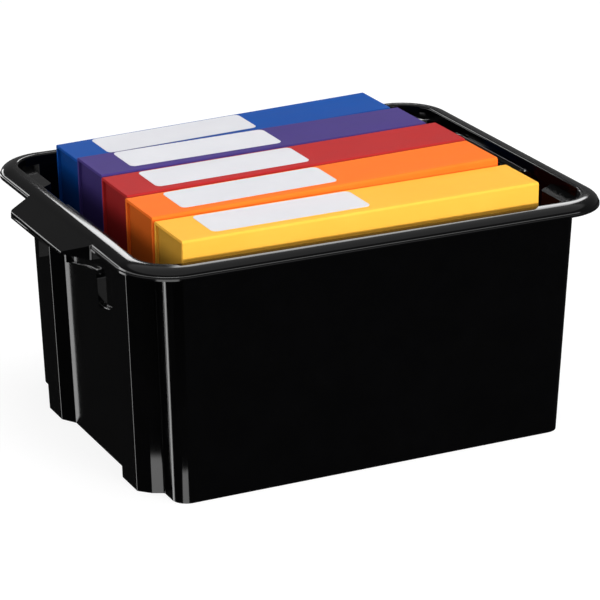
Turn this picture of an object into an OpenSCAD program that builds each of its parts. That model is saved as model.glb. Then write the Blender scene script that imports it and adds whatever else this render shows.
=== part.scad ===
// Portable file box: a moulded plastic tub with a grip at each end, and five board box files
// standing in it side by side with their spines up.
// Millimetres. Origin: centre of the footprint, on the surface it stands on.
// +X runs along the length, -Y is the front, +Z is up.

/* [Tub] */
// How much longer the tub's floor is than the middle file
end_room = 46.6; // [42:0.1:120]
// How much wider the tub's floor is than the row of files
side_room = 26.4; // [14:0.1:90]
// How far the rim reaches out past each end wall at the floor
rim_out_x = 41.7; // [36:0.1:60]
// How far the rim reaches out past the front and back walls at the floor
rim_out_y = 20.6; // [20:0.1:40]
// Height of the tub
tub_h = 225; // [120:1:400]
// Outer corner radius of the rim, seen from above
rim_r = 50; // [30:1:80]
// Width of the rolled rim, from its outer lip to its inner lip
rim_band = 18.2; // [14:0.1:20]
// Height of the skirt that hangs from the rim
skirt_h = 10.2; // [6:0.1:20]
// Wall thickness
wall = 2.5; // [1.5:0.1:5]
// Floor thickness
floor_t = 3; // [2:0.1:6]
// How far the middle panel of each end stands proud of the end wall
panel_out = 11; // [4:0.5:16]
// How far the two hollow columns of each end stand proud of the end wall
column_out = 19.9; // [12:0.1:24]
// Distance from the left end's back edge to the face of its back column
back_set = 73.9; // [50:0.1:80]
// Width of that column's face
back_face = 32; // [24:1:50]
// Distance from the left end's front edge to the face of its front column
front_set = 44.9; // [30:0.1:60]
// Width of that column's face
front_face = 34; // [20:1:45]
// Width of the slanted sides of the columns
flank = 14; // [8:0.5:20]
// How much wider each end wall stands at the top than at the floor
end_flare = 7.6; // [2:0.1:15]
// How much wider the front and back walls stand at the top than at the floor
side_flare = 4.9; // [1:0.1:12]
// Radius of the tub's upright corners
corner_r = 14; // [4:1:30]

/* [Grips] */
// How far each grip reaches out past the rim
grip_out = 18.4; // [12:0.1:40]
// Distance from the centre line to the grip's square side
grip_square = 71; // [50:1:90]
// Distance from the centre line to the grip's slanted side, where it leaves the rim
grip_slant = 79; // [60:1:95]
// Distance from the centre line to the outer corner of the slanted side
grip_corner = 52; // [40:1:75]
// Height of the grip's hanging edge
grip_skirt = 7.4; // [5:0.1:15]
// How much that edge rises at the outer corner of the slanted side
grip_rise = 3.8; // [0:0.1:4.5]
// Depth of the grip's top edge below the top of the rim
grip_drop = 15.6; // [12:0.1:30]
// Depth of the finger recess in the middle panel
recess_in = 4; // [2:0.5:6]
// How far the recess reaches down from the top of the wall under the grip
bay_h = 42; // [30:1:60]
// How far its slot reaches down beside the near column
slot_h = 72; // [62:1:110]
// Width of that slot
slot_w = 41; // [24:1:50]
// Height of the rib under the grip's square side
rib_h = 56; // [30:1:120]
// Thickness of that rib
rib_t = 6; // [3:0.5:8]

/* [Box files] */
// Length of the middle file along its spine
file_len = 340; // [280:1:350]
// Thickness of a closed file
file_t = 60.6; // [40:0.1:80]
// Depth of a file from its spine to its fore edge
file_depth = 236; // [180:1:300]
// Thickness of the covered board
board = 3; // [1.5:0.1:4]
// Thickness of the tray's walls
tray_wall = 2; // [1:0.1:4]
// Gap between neighbouring files
file_gap = 0.6; // [0.4:0.1:3]
// Distance from the outside of the tub's front wall at the floor to the front file
front_room = 5.6; // [4:0.1:12]
// Length of the spine label
label_len = 152; // [60:1:220]
// Width of the spine label
label_wid = 46; // [10:1:50]
// How far the label sits off the middle of the spine, toward its back edge
label_shift = 3; // [-5:0.5:5]
// Distance from the left end of the spine to the label
label_in = 33; // [10:1:80]

/* [Hidden] */
$fn = 64;
files = 5;
base_x = (file_len + end_room) / 2;
base_y = (files * file_t + (files - 1) * file_gap + side_room) / 2;
half_x = base_x + rim_out_x;
half_y = base_y + rim_out_y;
lip_h = skirt_h - 0.7;
wall_top = tub_h - lip_h;
front_y = base_y - front_room;
mid_x = base_x + panel_out;
col_x = base_x + column_out;
back_y = base_y - back_set;
near_y = base_y - front_set;
panel_near = near_y - front_face - flank;
panel_far = back_y - back_face - flank;
flare_x = 1 + end_flare / base_x;
flare_y = 1 + side_flare / base_y;
roll = 2.6;
crown_in = rim_band - roll - 0.4;
fold_r = 2.5;
tray_t = file_t - 2 * board - 0.4;
tray_d = file_depth - board - 1.5;
grip_x = half_x + grip_out;
grip_z = tub_h - grip_drop;

// How each file stands: place in the row from the front, x of the middle of its spine, how
// far the middle of its fore edge is off the tub's floor, tilt in degrees with the right end
// up, and how much longer it is than the middle file
BLUE = [4, -17.5, 6.2, 1.8, -18];
PURPLE = [3, -16, 9, 0.9, -9];
RED = [2, -12.5, 8.6, 1.14, 0];
ORANGE = [1, -14, 7.6, 1.2, 2];
YELLOW = [0, -9.5, 2.7, 0.5, 8];

// ---------------------------------------------------------------- tub

// The left end of the tub's outline at the floor, from its back corner to its front corner.
// The two columns stand off centre, and the right end is this one turned half round.
END_LINE = [[-base_x, base_y], [-base_x, back_y + flank], [-col_x, back_y],
  [-col_x, back_y - back_face], [-mid_x, panel_far], [-mid_x, -panel_near],
  [-col_x, -near_y + front_face], [-col_x, -near_y], [-base_x - column_out / 2, -near_y - 10],
  [-base_x, -near_y - 15], [-base_x, -base_y]];

module outline(inset = 0) {
  $fn = 36;
  offset(delta = -inset)
    difference() {
      offset(r = 2.5)
        offset(r = -5)
          offset(r = 2.5)
            polygon(concat(END_LINE, [for (p = END_LINE) -p]));
      for (sx = [-1, 1], sy = [-1, 1])
        scale([sx, sy])
          translate([base_x - corner_r, base_y - corner_r])
            difference() {
              square(corner_r + 5);
              circle(r = corner_r);
            }
    }
}

// A rounded rectangle that follows the rim, drawn in by inset
module rim_plan(inset = 0) {
  offset(r = rim_r - inset)
    square(2 * [half_x - rim_r, half_y - rim_r], center = true);
}

function arc(c, a, b, t0, t1, n) =
  [for (i = [0 : n]) let (t = t0 + (t1 - t0) * i / n) [c[0] + a * cos(t), c[1] + b * sin(t)]];

// Section of the rim: x is measured inward from the outer lip, y down from the rim's top.
// It is highest near the inner lip and falls in one curve to the skirt.
RIM_LINE = concat(
  [[0, -skirt_h], [0, -skirt_h + 1.7]],
  arc([crown_in, -skirt_h + 2.4], crown_in - 0.9, skirt_h - 2.4, 180, 90, 14),
  arc([crown_in, -roll], roll, roll, 84, 12, 5),
  [[rim_band, -lip_h], [rim_band - wall, -lip_h], [rim_band - wall - 0.4, -wall - 1]],
  arc([crown_in, -skirt_h + 2.4], crown_in - 3.4, skirt_h - 4.9, 90, 180, 10),
  [[3.4, -skirt_h]]);

module rim_section() {
  polygon([for (p = RIM_LINE) [-p[0], p[1]]]);
}

module rim() {
  translate([0, 0, tub_h]) {
    for (s = [0, 180])
      rotate([0, 0, s]) {
        translate([half_x, 0, 0])
          rotate([90, 0, 0])
            linear_extrude(2 * (half_y - rim_r), center = true)
              rim_section();
        translate([0, half_y, 0])
          rotate([90, 0, 90])
            linear_extrude(2 * (half_x - rim_r), center = true)
              rim_section();
        for (q = [0, 1])
          mirror([q, 0, 0])
            translate([half_x - rim_r, half_y - rim_r, 0])
              rotate_extrude(angle = 90)
                translate([rim_r, 0])
                  rim_section();
      }
  }
}

// Both ends of what is drawn for the right end
module both_ends() {
  for (s = [0, 180])
    rotate([0, 0, s])
      children();
}

// Flat ledge that joins the walls to the inner lip of the rim, open over every hollow
module ledge() {
  translate([0, 0, wall_top - wall])
    linear_extrude(wall)
      difference() {
        rim_plan(rim_band - wall - 2.6);
        intersection() {
          union() {
            scale([flare_x, flare_y])
              outline(wall);
            both_ends()
              translate([mid_x, -panel_far])
                square([20, panel_far + panel_near]);
          }
          rim_plan(rim_band);
        }
      }
}

// Section through the slanted band above a middle panel, from its wall out to the inner lip
BAND_LINE = [[mid_x + 4.9, wall_top - 11], [half_x - rim_band, wall_top],
  [half_x - rim_band + wall, wall_top], [mid_x + 7.8, wall_top - 11]];

// The slanted band, or the space over it, at the right end
module panel_band(space = false) {
  translate([0, panel_near, 0])
    rotate([90, 0, 0])
      linear_extrude(panel_far + panel_near)
        polygon(space ? [BAND_LINE[0], BAND_LINE[1], [half_x - rim_band, wall_top + 1],
          [mid_x - 3, wall_top + 1], [mid_x - 3, wall_top - 11]] : BAND_LINE);
}

// Drafted wall all round on the floor
module shell() {
  difference() {
    flared(wall_top)
      outline();
    translate([0, 0, floor_t])
      flared(wall_top)
        outline(wall);
    both_ends()
      panel_band(space = true);
  }
  both_ends()
    panel_band();
}

// Stands an outline up to the height of the walls, wider at the top
module flared(h) {
  linear_extrude(h, scale = [flare_x, flare_y], slices = 1)
    children();
}

// Side view of the finger recess in the middle panel of the right end: a bay under the grip
// and a slot beside the near column, with the panel's own corner rounded between them
module recess_face() {
  bay_z = wall_top - bay_h;
  slot_y = panel_near - slot_w;
  polygon(concat([[-panel_far + 2, bay_z - 13], [slot_y - 24, bay_z]],
    arc([slot_y - 8, bay_z - 6], 8, 8, 90, 0, 6),
    arc([slot_y, bay_z], slot_w * 1.1, slot_h - bay_h, -90, -26, 8),
    [[panel_near - 0.5, wall_top - wall - 1], [-panel_far + 2, wall_top - wall - 1]]));
}

// Wall between two depths behind the outside of the right end, cut to a side view
module end_layer(from, to) {
  intersection() {
    difference() {
      flared(wall_top)
        outline(from);
      translate([0, 0, -1])
        flared(wall_top)
          outline(to);
    }
    translate([base_x, 0, 0])
      rotate([90, 0, 90])
        linear_extrude(40)
          children();
  }
}

// Side view of a grip, outside and underneath
GRIP_TOP = concat([[col_x + 3, grip_z - grip_skirt], [col_x + 3, wall_top], [half_x - 3, wall_top],
  [half_x - 4, tub_h - 7], [half_x - 2.2, tub_h - 4.9]],
  arc([grip_x - 4, grip_z - 3.4], 3.4, 3.4, 62, 0, 6),
  [[grip_x - 0.6, grip_z - grip_skirt + 2.2], [grip_x, grip_z - grip_skirt + 1.8],
    [grip_x, grip_z - grip_skirt]]);
GRIP_UNDER = [[col_x - 5, grip_z - grip_skirt - 1], [col_x - 5, wall_top - wall],
  [half_x - 3, wall_top - wall], [half_x - 1.8, tub_h - 8.9], [grip_x - 5.6, grip_z - 2.4],
  [grip_x - 3.1, grip_z - 5], [grip_x - 3.1, grip_z - grip_skirt - 1]];

module grip_side(line) {
  rotate([90, 0, 0])
    linear_extrude(2 * grip_slant + 20, center = true)
      polygon(line);
}

module grip_plan(inset) {
  offset(r = 4)
    offset(delta = -4 - inset)
      polygon([[col_x - 20, -grip_square], [grip_x, -grip_square], [grip_x, grip_corner],
        [half_x, grip_slant], [col_x - 20, grip_slant]]);
}

// A grip: a hood that hangs over the hand, hollow underneath, drawn at the right end
module end_grip() {
  difference() {
    intersection() {
      linear_extrude(tub_h)
        grip_plan(0);
      grip_side(GRIP_TOP);
    }
    intersection() {
      linear_extrude(tub_h)
        grip_plan(wall);
      grip_side(GRIP_UNDER);
    }
    // the hanging edge rises toward the slanted side
    translate([col_x, 0, grip_z - grip_skirt])
      rotate([90, 0, 90])
        linear_extrude(grip_x)
          polygon([[-7, 0], [grip_corner, grip_rise], [grip_slant + 5, grip_rise], [grip_slant + 5, -5],
            [-7, -5]]);
  }
}

// What one end carries outside the wall, drawn at the right end
module tub_end() {
  difference() {
    end_grip();
    flared(wall_top)
      outline(1);
  }
  // rib from the grip's square side down the outer face of the far column
  translate([col_x + 5.5, -grip_square - rib_t, wall_top - rib_h])
    cube([7.8, rib_t + 0.5, rib_h - 1]);
}

module crate_body() {
  color([0.05, 0.05, 0.055]) {
    difference() {
      union() {
        shell();
        ledge();
        rim();
        both_ends() {
          tub_end();
          end_layer(1, recess_in + wall)
            offset(delta = wall)
              recess_face();
        }
      }
      both_ends()
        end_layer(-3, recess_in)
          recess_face();
    }
  }
}

// ---------------------------------------------------------------- box files

// Puts a file where it stands: the file is drawn with the middle of its spine at the origin,
// its length along X, its thickness along Y and its fore edge down at -Z.
module stand(f) {
  translate([f[1], -front_y + file_t / 2 + f[0] * (file_t + file_gap), floor_t + f[2] + file_depth])
    rotate([0, -f[3], 0])
      children();
}

// Covered board folded round the file: back cover, spine and front cover in one
module case(l) {
  rotate([90, 0, 90])
    linear_extrude(l, center = true)
      difference() {
        translate([-file_t / 2, -file_depth])
          square([file_t, file_depth]);
        translate([-file_t / 2 + board, -file_depth - board])
          square([file_t - 2 * board, file_depth]);
        for (s = [0, 1])
          mirror([s, 0])
            translate([file_t / 2 - fold_r, -fold_r])
              difference() {
                square(fold_r + 1);
                circle(r = fold_r);
              }
      }
}

// Tray glued to the back cover: two end walls and the fore-edge wall
module tray(l) {
  tray_l = l - 5;
  translate([-tray_l / 2, file_t / 2 - board - tray_t, -board - tray_d])
    difference() {
      cube([tray_l, tray_t, tray_d]);
      translate([tray_wall, -1, tray_wall])
        cube([tray_l - 2 * tray_wall, tray_t + 2, tray_d]);
    }
}

// Label stuck on the spine
module label(l) {
  translate([label_in + label_len / 2 - l / 2, label_shift, 0])
    linear_extrude(0.4)
      difference() {
        square([label_len, label_wid], center = true);
        for (u = [0, 1], v = [0, 1])
          mirror([u, 0])
            mirror([0, v])
              translate([label_len / 2 - 4, label_wid / 2 - 4])
                difference() {
                  square(5);
                  circle(r = 4);
                }
      }
}

// Spring that holds papers down: a foot riveted to the back cover, an arched strip and a bar
module lock_spring() {
  translate([0, file_t / 2 - board, -file_depth * 0.42]) {
    translate([-32, -1, -12])
      cube([64, 1, 24]);
    for (s = [-1, 1])
      translate([s * 24, -0.5, 0])
        rotate([90, 0, 0])
          cylinder(h = 2, d = 7);
    translate([-7, 0, 0])
      rotate([90, 0, 90])
        linear_extrude(14)
          polygon(concat(arc([-1, 30], 26, 30, 270, 180, 12), arc([-1, 30], 25, 29, 180, 270, 12)));
    translate([-45, -28, 28])
      cube([90, 2, 10]);
  }
}

// Catch that holds the front cover shut: it laps the tray's fore-edge wall
module fore_catch() {
  translate([-14, -file_t / 2 + board, -file_depth + 0.05])
    cube([28, 14, 1.35]);
}

module blue_case() {
  color([0.03, 0.28, 0.62])
    stand(BLUE)
      case(file_len + BLUE[4]);
}

module blue_tray() {
  color([0.03, 0.2, 0.45])
    stand(BLUE)
      tray(file_len + BLUE[4]);
}

module blue_label() {
  color([0.9, 0.9, 0.92])
    stand(BLUE)
      label(file_len + BLUE[4]);
}

module blue_lock_spring() {
  color([0.7, 0.7, 0.72])
    stand(BLUE)
      lock_spring();
}

module blue_catch() {
  color([0.08, 0.08, 0.09])
    stand(BLUE)
      fore_catch();
}

module purple_case() {
  color([0.26, 0.2, 0.52])
    stand(PURPLE)
      case(file_len + PURPLE[4]);
}

module purple_tray() {
  color([0.2, 0.16, 0.42])
    stand(PURPLE)
      tray(file_len + PURPLE[4]);
}

module purple_label() {
  color([0.9, 0.9, 0.92])
    stand(PURPLE)
      label(file_len + PURPLE[4]);
}

module purple_lock_spring() {
  color([0.7, 0.7, 0.72])
    stand(PURPLE)
      lock_spring();
}

module purple_catch() {
  color([0.08, 0.08, 0.09])
    stand(PURPLE)
      fore_catch();
}

module red_case() {
  color([0.72, 0.16, 0.17])
    stand(RED)
      case(file_len + RED[4]);
}

module red_tray() {
  color([0.55, 0.12, 0.13])
    stand(RED)
      tray(file_len + RED[4]);
}

module red_label() {
  color([0.9, 0.9, 0.92])
    stand(RED)
      label(file_len + RED[4]);
}

module red_lock_spring() {
  color([0.7, 0.7, 0.72])
    stand(RED)
      lock_spring();
}

module red_catch() {
  color([0.08, 0.08, 0.09])
    stand(RED)
      fore_catch();
}

module orange_case() {
  color([0.98, 0.46, 0.16])
    stand(ORANGE)
      case(file_len + ORANGE[4]);
}

module orange_tray() {
  color([0.8, 0.36, 0.12])
    stand(ORANGE)
      tray(file_len + ORANGE[4]);
}

module orange_label() {
  color([0.9, 0.9, 0.92])
    stand(ORANGE)
      label(file_len + ORANGE[4]);
}

module orange_lock_spring() {
  color([0.7, 0.7, 0.72])
    stand(ORANGE)
      lock_spring();
}

module orange_catch() {
  color([0.08, 0.08, 0.09])
    stand(ORANGE)
      fore_catch();
}

module yellow_case() {
  color([0.98, 0.75, 0.3])
    stand(YELLOW)
      case(file_len + YELLOW[4]);
}

module yellow_tray() {
  color([0.82, 0.6, 0.22])
    stand(YELLOW)
      tray(file_len + YELLOW[4]);
}

module yellow_label() {
  color([0.9, 0.9, 0.92])
    stand(YELLOW)
      label(file_len + YELLOW[4]);
}

module yellow_lock_spring() {
  color([0.7, 0.7, 0.72])
    stand(YELLOW)
      lock_spring();
}

module yellow_catch() {
  color([0.08, 0.08, 0.09])
    stand(YELLOW)
      fore_catch();
}

crate_body();
blue_case();
blue_tray();
blue_label();
blue_lock_spring();
blue_catch();
purple_case();
purple_tray();
purple_label();
purple_lock_spring();
purple_catch();
red_case();
red_tray();
red_label();
red_lock_spring();
red_catch();
orange_case();
orange_tray();
orange_label();
orange_lock_spring();
orange_catch();
yellow_case();
yellow_tray();
yellow_label();
yellow_lock_spring();
yellow_catch();
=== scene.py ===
# %% [markdown]
# # A moulded tub with five box files
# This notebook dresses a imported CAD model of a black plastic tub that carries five
# covered board box files. The CAD model is the frame: every piece made here goes where
# the CAD says, in metres, with +Z up and the front of the tub towards -Y.

# %% Load the frame
import math
from collections import namedtuple
import bmesh
import bpy
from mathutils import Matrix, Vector


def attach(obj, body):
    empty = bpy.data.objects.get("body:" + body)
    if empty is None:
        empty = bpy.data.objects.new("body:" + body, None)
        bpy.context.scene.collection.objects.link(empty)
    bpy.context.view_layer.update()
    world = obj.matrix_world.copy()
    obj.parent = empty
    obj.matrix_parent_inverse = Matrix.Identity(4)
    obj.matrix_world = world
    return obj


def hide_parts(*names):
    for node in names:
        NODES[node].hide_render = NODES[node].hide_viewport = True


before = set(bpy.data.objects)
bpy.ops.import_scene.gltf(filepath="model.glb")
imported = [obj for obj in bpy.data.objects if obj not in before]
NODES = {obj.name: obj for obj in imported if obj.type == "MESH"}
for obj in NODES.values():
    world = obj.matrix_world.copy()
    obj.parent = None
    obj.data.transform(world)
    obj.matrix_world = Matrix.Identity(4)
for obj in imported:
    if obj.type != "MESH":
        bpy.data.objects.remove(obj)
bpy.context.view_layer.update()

# %% [markdown]
# ## The sizes of the files
# The five files share one thickness and one depth, but they differ a little in length,
# and each leans and stands in its own way, as files do in use. The numbers are in metres
# and degrees. They repeat the named values of the CAD source, because this notebook
# can't read it.

# %% Sizes of the files
FILE_T, FILE_D = 0.0606, 0.236
# the case's board, and how far its two folds are rounded
BOARD, FOLD = 0.003, 0.0025
# the tub's floor, the front of the row, and the step from one file to the next
TUB_FLOOR, ROW_FRONT, PITCH = 0.003, -0.1603, 0.0612

# place: steps back in the row. middle: the spine's middle x. height: off the tub's floor.
Stand = namedtuple("Stand", "place middle height tilt length")
STANDS = {
    "blue": Stand(4, -0.0175, 0.0062, 1.8, 0.322),
    "purple": Stand(3, -0.016, 0.0090, 0.9, 0.331),
    "red": Stand(2, -0.0125, 0.0086, 1.14, 0.340),
    "orange": Stand(1, -0.014, 0.0076, 1.2, 0.342),
    "yellow": Stand(0, -0.0095, 0.0027, 0.5, 0.348),
}
COLOURS = list(STANDS)
print("files:", ", ".join(COLOURS))

# %% [markdown]
# ## The camera
# The photograph was taken from the front left, a little above the rim, with a long lens:
# the tub's edges hardly converge. The camera stands about 2.6 m from the tub, 26 degrees
# to the left of the front, and looks 20 degrees down.

# %% Camera
CAMERA_AT = (-1.0766, -2.2222, 1.0221)
LOOK_DOWN, LOOK_RIGHT = 20.39, 25.952
LENS_MM, SENSOR_MM = 169.1, 36.0

cam_data = bpy.data.cameras.new("camera")
camera = bpy.data.objects.new("camera", cam_data)
bpy.context.scene.collection.objects.link(camera)
bpy.context.scene.camera = camera
cam_data.lens = LENS_MM
cam_data.sensor_width = SENSOR_MM
camera.location = CAMERA_AT
camera.rotation_euler = (math.radians(90 - LOOK_DOWN), 0.0, -math.radians(LOOK_RIGHT))
print("camera at", tuple(round(v, 3) for v in camera.location))

# %% [markdown]
# ## Writing materials as sums
# A finish is easier to read as arithmetic than as a list of links. The Wire class wraps
# one socket and turns + - * into Math nodes, in both orders, so 1 - mask works. Any
# other node comes from Graph.add, which makes the node's settings first and then its
# inputs. A Finish is the graph of a material, and the world gets a plain Graph.

# %% Wire, Graph and Finish
class Wire:
    def __init__(self, graph, socket):
        self.graph, self.socket = graph, socket

    def _math(self, operation, a, b):
        return self.graph.add("ShaderNodeMath", {"operation": operation}, {0: a, 1: b})

    def __add__(self, other):
        return self._math("ADD", self, other)

    def __radd__(self, other):
        return self._math("ADD", other, self)

    def __sub__(self, other):
        return self._math("SUBTRACT", self, other)

    def __rsub__(self, other):
        return self._math("SUBTRACT", other, self)

    def __mul__(self, other):
        return self._math("MULTIPLY", self, other)

    def __rmul__(self, other):
        return self._math("MULTIPLY", other, self)


class Graph:
    def __init__(self, tree):
        self.tree = tree

    def put(self, socket, value):
        if isinstance(value, Wire):
            self.tree.links.new(value.socket, socket)
        else:
            socket.default_value = value

    def add(self, kind, settings=None, inputs=None, out=0):
        """A node. out is the output wanted, or a tuple of outputs for a list of wires."""
        node = self.tree.nodes.new(kind)
        for key, value in (settings or {}).items():
            setattr(node, key, value)
        for key, value in (inputs or {}).items():
            self.put(node.inputs[key], value)
        if isinstance(out, tuple):
            return [Wire(self, node.outputs[key]) for key in out]
        return Wire(self, node.outputs[out])

    def rays(self):
        """Masks of the rays from the camera, off polished surfaces and through glass."""
        return self.add("ShaderNodeLightPath",
                        out=("Is Camera Ray", "Is Glossy Ray", "Is Transmission Ray"))

    def band(self, value, span, soft):
        """1 inside the span, falling to 0 over soft on both sides."""
        low, high = span
        rise = self.add("ShaderNodeMapRange", {"interpolation_type": "SMOOTHSTEP"},
                        {"Value": value, "From Min": low - soft, "From Max": low})
        fall = self.add("ShaderNodeMapRange", {"interpolation_type": "SMOOTHSTEP"},
                        {"Value": value, "From Min": high, "From Max": high + soft})
        return rise * (1 - fall)

    def noise(self, scale, detail, rough=0.55, stretch=None):
        at = self.add("ShaderNodeTexCoord", out="Object")
        if stretch:
            at = self.add("ShaderNodeMapping", {}, {"Vector": at, "Scale": stretch})
        return self.add("ShaderNodeTexNoise", {}, {
            "Vector": at, "Scale": scale, "Detail": detail, "Roughness": rough})

    def mix(self, factor, a, b):
        return self.add("ShaderNodeMix", {"data_type": "RGBA"}, {0: factor, 6: a, 7: b}, out=2)


class Finish(Graph):
    def __init__(self, name):
        self.mat = bpy.data.materials.new(name)
        self.mat.use_nodes = True
        super().__init__(self.mat.node_tree)
        self.shader = self.tree.nodes["Principled BSDF"]

    def set(self, **values):
        for key, value in values.items():
            self.put(self.shader.inputs[key.replace("_", " ")], value)

    def bump(self, height, distance, strength):
        normal = self.add("ShaderNodeBump", {}, {
            "Height": height, "Distance": distance, "Strength": strength}, out="Normal")
        self.put(self.shader.inputs["Normal"], normal)


# %% [markdown]
# ## One piece at a time
# An operator acts on everything that is selected, and the CAD pieces come in selected. So
# everything is let go before a new piece is added or a piece is taken up. Every finished
# piece is handed over in the same way: it gets its finish, hides the CAD node that it
# stands for, and rides on the body that carries it.

# %% Bench helpers
def let_go():
    bpy.ops.object.select_all(action="DESELECT")


def take_up(obj):
    let_go()
    obj.select_set(True)
    bpy.context.view_layer.objects.active = obj


def apply(obj, kind, **settings):
    bpy.context.view_layer.objects.active = obj
    modifier = obj.modifiers.new(kind.lower(), kind)
    for key, value in settings.items():
        setattr(modifier, key, value)
    bpy.ops.object.modifier_apply(modifier=modifier.name)


def shade(obj, crease):
    """Smooth, but for edges that turn more than crease degrees. Large faces rule."""
    bpy.ops.object.shade_smooth_by_angle(angle=math.radians(crease))
    apply(obj, "WEIGHTED_NORMAL", keep_sharp=True)


def wear(obj, finish):
    obj.data.materials.clear()
    obj.data.materials.append(finish.mat)
    for face in obj.data.polygons:
        face.material_index = 0


def hand_over(obj, node, body, finish):
    wear(obj, finish)
    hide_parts(node)
    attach(obj, body)


# %% [markdown]
# ## Glossy black plastic
# The tub is moulded in one piece of black plastic. The mould was polished, so the walls
# are smooth and dark and show their shape by thin bright lines along the edges. A slow
# ripple stands for the sink and flow of the moulding, and a finer grain with a few
# rubbed patches breaks the gloss.

# %% Black plastic
DEEP_BLACK, RUBBED_BLACK = (0.0008, 0.0008, 0.0009, 1), (0.0018, 0.0018, 0.0020, 1)


def black_plastic():
    f = Finish("black_plastic")
    slow = f.noise(9.0, 2.0)
    fine = f.noise(260.0, 3.0)
    rub = f.noise(34.0, 5.0, 0.65)
    f.set(Base_Color=f.mix(rub, DEEP_BLACK, RUBBED_BLACK), Roughness=0.07 + rub * 0.07,
          IOR=1.5, Specular_IOR_Level=0.22)
    f.bump(slow * 2.0 + fine * 0.02, 0.0005, 0.4)
    return f


PLASTIC = black_plastic()
print("finish:", PLASTIC.mat.name)

# %% [markdown]
# ## The tub
# The tub is one moulding, and its CAD node has the right shape, but its mesh is loose flat
# triangles: a polished surface would show every one of them. It could be remodelled by
# hand, but the CAD already holds each wall and lip. So the node's mesh is copied, its
# triangles are merged and dissolved into whole faces, and it is shaded smooth except along
# the real edges. Large faces then rule the normals, so that flat walls stay flat.

# %% Tub
WELD, LEVEL_ANGLE, TUB_CREASE = 0.00001, 0.4, 24


def merged_copy(node, name, crease):
    piece = NODES[node].copy()
    piece.data = NODES[node].data.copy()
    piece.name = name
    bpy.context.scene.collection.objects.link(piece)
    take_up(piece)
    bpy.ops.object.mode_set(mode="EDIT")
    bpy.ops.mesh.select_all(action="SELECT")
    bpy.ops.mesh.remove_doubles(threshold=WELD)
    bpy.ops.mesh.dissolve_limited(angle_limit=math.radians(LEVEL_ANGLE))
    bpy.ops.object.mode_set(mode="OBJECT")
    shade(piece, crease)
    return piece


tub = merged_copy("crate_body", "tub", TUB_CREASE)
hand_over(tub, "crate_body", "crate", PLASTIC)
print("tub:", len(tub.data.polygons), "faces")

# %% [markdown]
# ## Covered board
# Each file is greyboard covered in coloured, lightly coated paper. One noise could tint
# it, but real covers vary at several scales at once: the colour drifts a little along the
# board, it has faint clouds, and the paper has a fine fibre grain. So three noises are
# added. The trays inside get the same cover, darkened as painted shade for the dimness
# inside the files.

# %% Covered board
INKS = {
    "blue": ((0.002, 0.050, 0.27), (0.004, 0.085, 0.38)),
    "purple": ((0.040, 0.024, 0.13), (0.075, 0.048, 0.24)),
    "red": ((0.33, 0.014, 0.018), (0.52, 0.032, 0.030)),
    "orange": ((0.90, 0.14, 0.012), (1.0, 0.22, 0.030)),
    "yellow": ((0.90, 0.42, 0.035), (1.0, 0.56, 0.085)),
}
# painted shade: the trays' cover is this much darker, standing in for the shade inside the
# files
PAINTED_SHADE_DIM = 0.62


def covered_board(name, colour, painted_shade_dim):
    f = Finish(name)
    # a factor below 1 paints shade into both of the cover's colours
    dark, light = (tuple(c * painted_shade_dim for c in ink) + (1,) for ink in INKS[colour])
    drift = f.noise(7.0, 4.0, 0.6)
    cloud = f.noise(34.0, 5.0, 0.65, stretch=(0.6, 1.0, 1.0))
    fibre = f.noise(420.0, 4.0, 0.7, stretch=(1.0, 1.0, 0.35))
    f.set(Base_Color=f.mix(drift * 0.55 + cloud * 0.45, dark, light),
          Roughness=0.50 + cloud * 0.16, Specular_IOR_Level=0.04)
    f.bump(fibre * 0.7 + cloud * 0.6, 0.0002, 0.35)
    return f


BOARDS = {c: covered_board(c + "_board", c, 1.0) for c in COLOURS}
# the trays' cover: the same inks, darkened as painted shade
PAINTED_SHADE_BOARDS = {c: covered_board(c + "_board_painted_shade", c, PAINTED_SHADE_DIM) for c in COLOURS}
print("finishes:", len(BOARDS) + len(PAINTED_SHADE_BOARDS), "covered boards")

# %% [markdown]
# ## How a file stands
# Every piece of a file is modelled the way it lies on the bench: the middle of the spine at
# the origin, the spine up, the fore edge down. Then it is moved and tilted into its place in
# the tub, and the move is applied, so that the finished piece sits at the scene's origin.

# %% Blocks, and a file's place
NEAR = 0.0001


def block(name, low, high):
    let_go()
    bpy.ops.mesh.primitive_cube_add(size=1.0)
    obj = bpy.context.object
    obj.name = name
    obj.location = [(a + b) / 2 for a, b in zip(low, high)]
    obj.scale = [b - a for a, b in zip(low, high)]
    bpy.ops.object.transform_apply(location=True, rotation=True, scale=True)
    return obj


def pick(obj, kind, test):
    """Edit mode with only the faces or edges selected whose middle passes the test."""
    bpy.ops.object.mode_set(mode="EDIT")
    bpy.ops.mesh.select_mode(type=kind)
    bpy.ops.mesh.select_all(action="DESELECT")
    mesh = bmesh.from_edit_mesh(obj.data)
    for part in (mesh.faces if kind == "FACE" else mesh.edges):
        ends = [v.co for v in part.verts]
        if test(sum(ends, Vector()) / len(ends)):
            part.select_set(True)
    bmesh.update_edit_mesh(obj.data)


def ease(obj, width, segments=2, angle=40):
    apply(obj, "BEVEL", width=width, segments=segments, limit_method="ANGLE",
          angle_limit=math.radians(angle))
    shade(obj, angle)


def stand(obj, colour):
    s = STANDS[colour]
    obj.location = (s.middle, ROW_FRONT + FILE_T / 2 + s.place * PITCH,
                    TUB_FLOOR + s.height + FILE_D)
    obj.rotation_euler = (0.0, -math.radians(s.tilt), 0.0)
    take_up(obj)
    bpy.ops.object.transform_apply(location=True, rotation=True, scale=True)


# %% [markdown]
# ## Cases
# A case is one sheet of board folded twice: back cover, spine and front cover. It starts as
# a block that loses its ends and its fore edge. The sheet that is left gets its thickness
# inward, the two folds are rounded, and the cut edges are eased as covering paper does it.

# %% Cases
CASE_EASE = 0.0005


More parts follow.
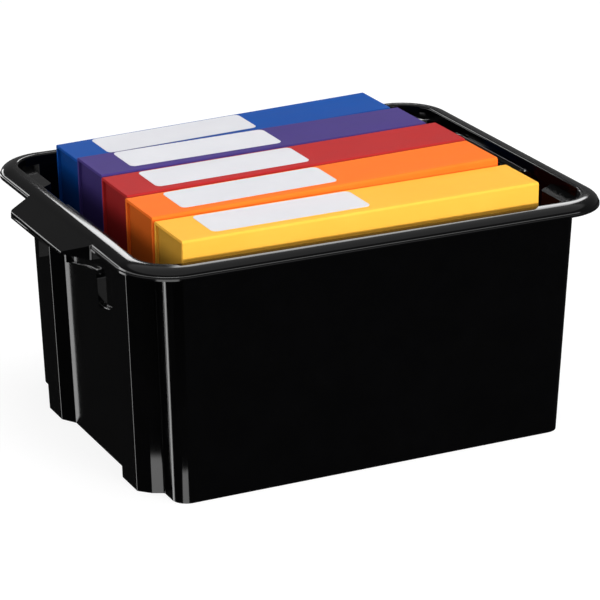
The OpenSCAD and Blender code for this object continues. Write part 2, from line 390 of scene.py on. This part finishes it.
def fold_case(colour):
    end, side = STANDS[colour].length / 2, FILE_T / 2
    obj = block(colour + "_folded_case", (-end, -side, -FILE_D), (end, side, 0))
    pick(obj, "FACE", lambda m: abs(m.x) > end - NEAR or m.z < -FILE_D + NEAR)
    bpy.ops.mesh.delete(type="FACE")
    bpy.ops.object.mode_set(mode="OBJECT")
    apply(obj, "SOLIDIFY", thickness=BOARD, offset=-1.0, use_even_offset=True)
    pick(obj, "EDGE", lambda m: abs(m.x) < NEAR and m.z > -NEAR and abs(m.y) > side - NEAR)
    bpy.ops.mesh.bevel(offset=FOLD, segments=5, affect="EDGES")
    bpy.ops.object.mode_set(mode="OBJECT")
    ease(obj, CASE_EASE)
    stand(obj, colour)
    return obj


for c in COLOURS:
    hand_over(fold_case(c), c + "_case", c + "_file", BOARDS[c])
print("cases folded:", len(COLOURS))

# %% [markdown]
# ## Trays
# The tray is three strips of thinner board glued into the back cover: two ends and the
# fore edge. A block again loses the faces that aren't there, and what is left gets its
# thickness. Its ends sit a little inside the covers, so the covers' edges frame them.

# %% Trays
TRAY_WALL, TRAY_EASE = 0.002, 0.0004
END_INSET, FORE_INSET, COVER_GAP = 0.0025, 0.0015, 0.0004


def glue_tray(colour):
    end, side = STANDS[colour].length / 2 - END_INSET, FILE_T / 2 - BOARD
    fore, front = FORE_INSET - FILE_D, COVER_GAP - side
    obj = block(colour + "_glued_tray", (-end, front, fore), (end, side, -BOARD))
    pick(obj, "FACE", lambda m: m.z > -BOARD - NEAR or m.y < front + NEAR
         or m.y > side - NEAR)
    bpy.ops.mesh.delete(type="FACE")
    bpy.ops.object.mode_set(mode="OBJECT")
    apply(obj, "SOLIDIFY", thickness=TRAY_WALL, offset=-1.0, use_even_offset=True)
    ease(obj, TRAY_EASE)
    stand(obj, colour)
    return obj


for c in COLOURS:
    # the trays wear the darkened cover, which paints the shade inside the files
    hand_over(glue_tray(c), c + "_tray", c + "_file", PAINTED_SHADE_BOARDS[c])
print("trays glued:", len(COLOURS))

# %% [markdown]
# ## Labels
# A paper label with round corners is stuck on each spine. Paper is faintly cloudy and has
# a fine pulp grain. The label is a thin block whose four upright edges are rounded, so it
# keeps a real edge that catches the light.

# %% Labels
LABEL_LEN, LABEL_WID, LABEL_THICK = 0.152, 0.046, 0.0004
LABEL_CORNER, LABEL_EASE = 0.0055, 0.00012
LABEL_IN, LABEL_SHIFT = 0.033, 0.003
LABEL_GREY, LABEL_WHITE = (0.60, 0.60, 0.64, 1), (0.67, 0.67, 0.70, 1)


def label_paper():
    f = Finish("label_paper")
    pulp = f.noise(300.0, 4.0, 0.7)
    cloud = f.noise(20.0, 3.0)
    f.set(Base_Color=f.mix(cloud, LABEL_GREY, LABEL_WHITE), Roughness=0.5 + pulp * 0.1)
    f.bump(pulp, 0.0001, 0.3)
    return f


def stick_label(colour):
    left = LABEL_IN - STANDS[colour].length / 2
    low = (left, LABEL_SHIFT - LABEL_WID / 2, 0.0)
    high = (left + LABEL_LEN, LABEL_SHIFT + LABEL_WID / 2, LABEL_THICK)
    obj = block(colour + "_stuck_label", low, high)
    pick(obj, "EDGE", lambda m: abs(m.z - LABEL_THICK / 2) < LABEL_THICK / 8)
    bpy.ops.mesh.bevel(offset=LABEL_CORNER, segments=6, affect="EDGES")
    bpy.ops.object.mode_set(mode="OBJECT")
    ease(obj, LABEL_EASE, segments=1, angle=60)
    stand(obj, colour)
    return obj


LABEL = label_paper()
for c in COLOURS:
    hand_over(stick_label(c), c + "_label", c + "_file", LABEL)
print("labels stuck:", len(COLOURS))

# %% [markdown]
# ## Springs and catches
# Inside each file a steel spring holds papers down, and a black catch keeps the case shut.
# Their CAD nodes already have the right shape and are hidden while the file is closed, so
# they stay as they are and only get a finish: brushed steel, and plastic with a fine grain.

# %% Springs and catches
CATCH_BLACK, CATCH_WORN = (0.012, 0.012, 0.014, 1), (0.02, 0.02, 0.022, 1)


def spring_steel():
    f = Finish("spring_steel")
    grain = f.noise(120.0, 3.0, 0.6, stretch=(0.1, 1.0, 1.0))
    f.set(Base_Color=(0.72, 0.72, 0.74, 1), Metallic=1.0, Roughness=0.18 + grain * 0.2)
    f.bump(grain, 0.0001, 0.2)
    return f


def catch_plastic():
    f = Finish("catch_plastic")
    grain = f.noise(500.0, 3.0, 0.6)
    f.set(Base_Color=f.mix(grain, CATCH_BLACK, CATCH_WORN), Roughness=0.4 + grain * 0.15)
    f.bump(grain, 0.0001, 0.3)
    return f


STEEL, CATCH = spring_steel(), catch_plastic()
for c in COLOURS:
    wear(NODES[c + "_lock_spring"], STEEL)
    wear(NODES[c + "_catch"], CATCH)
print("finishes:", STEEL.mat.name, CATCH.mat.name)

# %% [markdown]
# ## The floor
# A plain floor that the camera sees as white, with the tub's faint shadow on it. A white
# floor in the reflections would turn the tub's black walls grey, so polished surfaces
# don't see it.

# %% Floor
FLOOR_SIZE, FLOOR_DROP = 12.0, 0.0005
FLOOR_GLOW, FLOOR_GREY = 0.84, 0.24
WHITE = (1, 1, 1, 1)


def add_floor():
    let_go()
    bpy.ops.mesh.primitive_plane_add(size=FLOOR_SIZE, location=(0, 0, -FLOOR_DROP))
    floor = bpy.context.object
    floor.name = "floor"
    floor.visible_glossy = False
    f = Finish("floor_paper")
    seen, _, through = f.rays()
    f.set(Base_Color=(FLOOR_GREY, FLOOR_GREY, FLOOR_GREY, 1), Roughness=0.9,
          Specular_IOR_Level=0.0, Emission_Color=WHITE,
          Emission_Strength=(seen + through) * FLOOR_GLOW)
    wear(floor, f)
    return floor


print("floor:", add_floor().name)

# %% [markdown]
# ## A soft box for the gloss
# Glossy black shows little but its surroundings. A photographer would hang a white panel
# where its mirror image falls on the rim, and so does this notebook: only polished
# surfaces see the panel, so it lights nothing else.

# %% Soft box
BOX_AT = (0.03, 0.80, 0.70)
BOX_WIDE, BOX_TALL, BOX_LIGHT = 0.18, 0.26, 7.5


def add_soft_box():
    let_go()
    bpy.ops.mesh.primitive_plane_add(size=1.0, location=BOX_AT,
                                     rotation=(math.radians(90), 0, 0))
    box = bpy.context.object
    box.name = "soft_box"
    box.scale = (BOX_WIDE, BOX_TALL, 1.0)
    box.visible_camera = False
    box.visible_diffuse = False
    box.visible_shadow = False
    f = Finish("soft_box_light")
    f.set(Base_Color=(0, 0, 0, 1), Emission_Color=WHITE, Emission_Strength=BOX_LIGHT)
    wear(box, f)
    return box


print("soft box:", add_soft_box().name)

# %% [markdown]
# ## The room around the tub
# The camera sees a white world, and matt surfaces get an even fill from it. Polished ones
# see a room made of bands of direction: a backdrop behind on the right that draws the
# rim's crown, a bright line at the height of the horizon, two tall strips, at the back
# left and in front, that draw the folds and corners of the columns, a grey ceiling, and
# near darkness in between, which keeps the flat walls black. Turns are in degrees from
# +X, and rises are the sine of the angle above the horizon.

# %% World
FILL = 0.50
DARK, ROOM, CEILING, BACKDROP, HORIZON, STRIPS = 0.02, 0.16, 0.8, 7.5, 5.0, 6.0
ROOM_RISE, CEILING_RISE = (0.0, 1.0), (0.72, 1.0)
BACKDROP_TURN, BACKDROP_RISE = (50, 64), (0.41, 0.74)
HORIZON_RISE, HORIZON_BREAK = (0.0, 0.15), (-40, 88)
BACK_STRIP, FRONT_STRIP, STRIP_RISE = (130, 147), (-138, -98), (-0.70, 0.12)
DEGREES = 57.3


def room_by_direction(w):
    way = w.add("ShaderNodeTexCoord", out="Generated")
    x, y, z = w.add("ShaderNodeSeparateXYZ", {}, {0: way}, out=("X", "Y", "Z"))
    turn = w.add("ShaderNodeMath", {"operation": "ARCTAN2"}, {0: y, 1: x}) * DEGREES
    room = w.band(z, ROOM_RISE, 0.1)
    ceiling = w.band(z, CEILING_RISE, 0.1)
    backdrop = w.band(turn, BACKDROP_TURN, 3) * w.band(z, BACKDROP_RISE, 0.05)
    horizon = w.band(z, HORIZON_RISE, 0.04) * (1 - w.band(turn, HORIZON_BREAK, 4))
    strips = ((w.band(turn, BACK_STRIP, 4) + w.band(turn, FRONT_STRIP, 5))
              * w.band(z, STRIP_RISE, 0.05))
    return (DARK + room * ROOM + ceiling * CEILING + backdrop * BACKDROP
            + horizon * HORIZON + strips * STRIPS)


def add_world():
    world = bpy.data.worlds.new("studio")
    bpy.context.scene.world = world
    world.use_nodes = True
    world.node_tree.nodes.clear()
    w = Graph(world.node_tree)
    seen, glossy, through = w.rays()
    level = (seen + through + glossy * room_by_direction(w)
             + (1 - seen - through - glossy) * FILL)
    back = w.add("ShaderNodeBackground", {}, {"Color": WHITE, "Strength": level})
    w.add("ShaderNodeOutputWorld", {}, {"Surface": back}, out=())
    return world


print("world:", add_world().name)

# %% [markdown]
# ## The lamps
# Three soft lamps light the matt files: one above, a low wide one in front and a weak one
# at the left. Polished surfaces don't see them, because the room and the soft box
# already give every bright line.

# %% Lamps
def lamp(name, place, target, wide, tall, watts):
    data = bpy.data.lights.new(name, "AREA")
    data.shape = "RECTANGLE"
    data.size, data.size_y = wide, tall
    data.energy = watts
    obj = bpy.data.objects.new(name, data)
    bpy.context.scene.collection.objects.link(obj)
    obj.location = place
    obj.rotation_euler = (Vector(target) - Vector(place)).to_track_quat("-Z", "Y").to_euler()
    obj.visible_glossy = False
    return obj


LAMPS = [
    lamp("lamp_above", (0.3, -0.3, 2.4), (0, 0, 0.1), 1.4, 1.4, 28),
    lamp("lamp_front", (0.4, -2.3, 0.42), (0, 0, 0.25), 1.3, 0.3, 44),
    lamp("lamp_left", (-2.2, -0.6, 0.7), (0, 0, 0.2), 0.8, 0.8, 12),
]
print("lamps:", ", ".join(obj.name for obj in LAMPS))

# %% [markdown]
# ## The view
# The standard view shows a colour about as it is written.

# %% Finish
bpy.context.scene.view_settings.view_transform = "Standard"
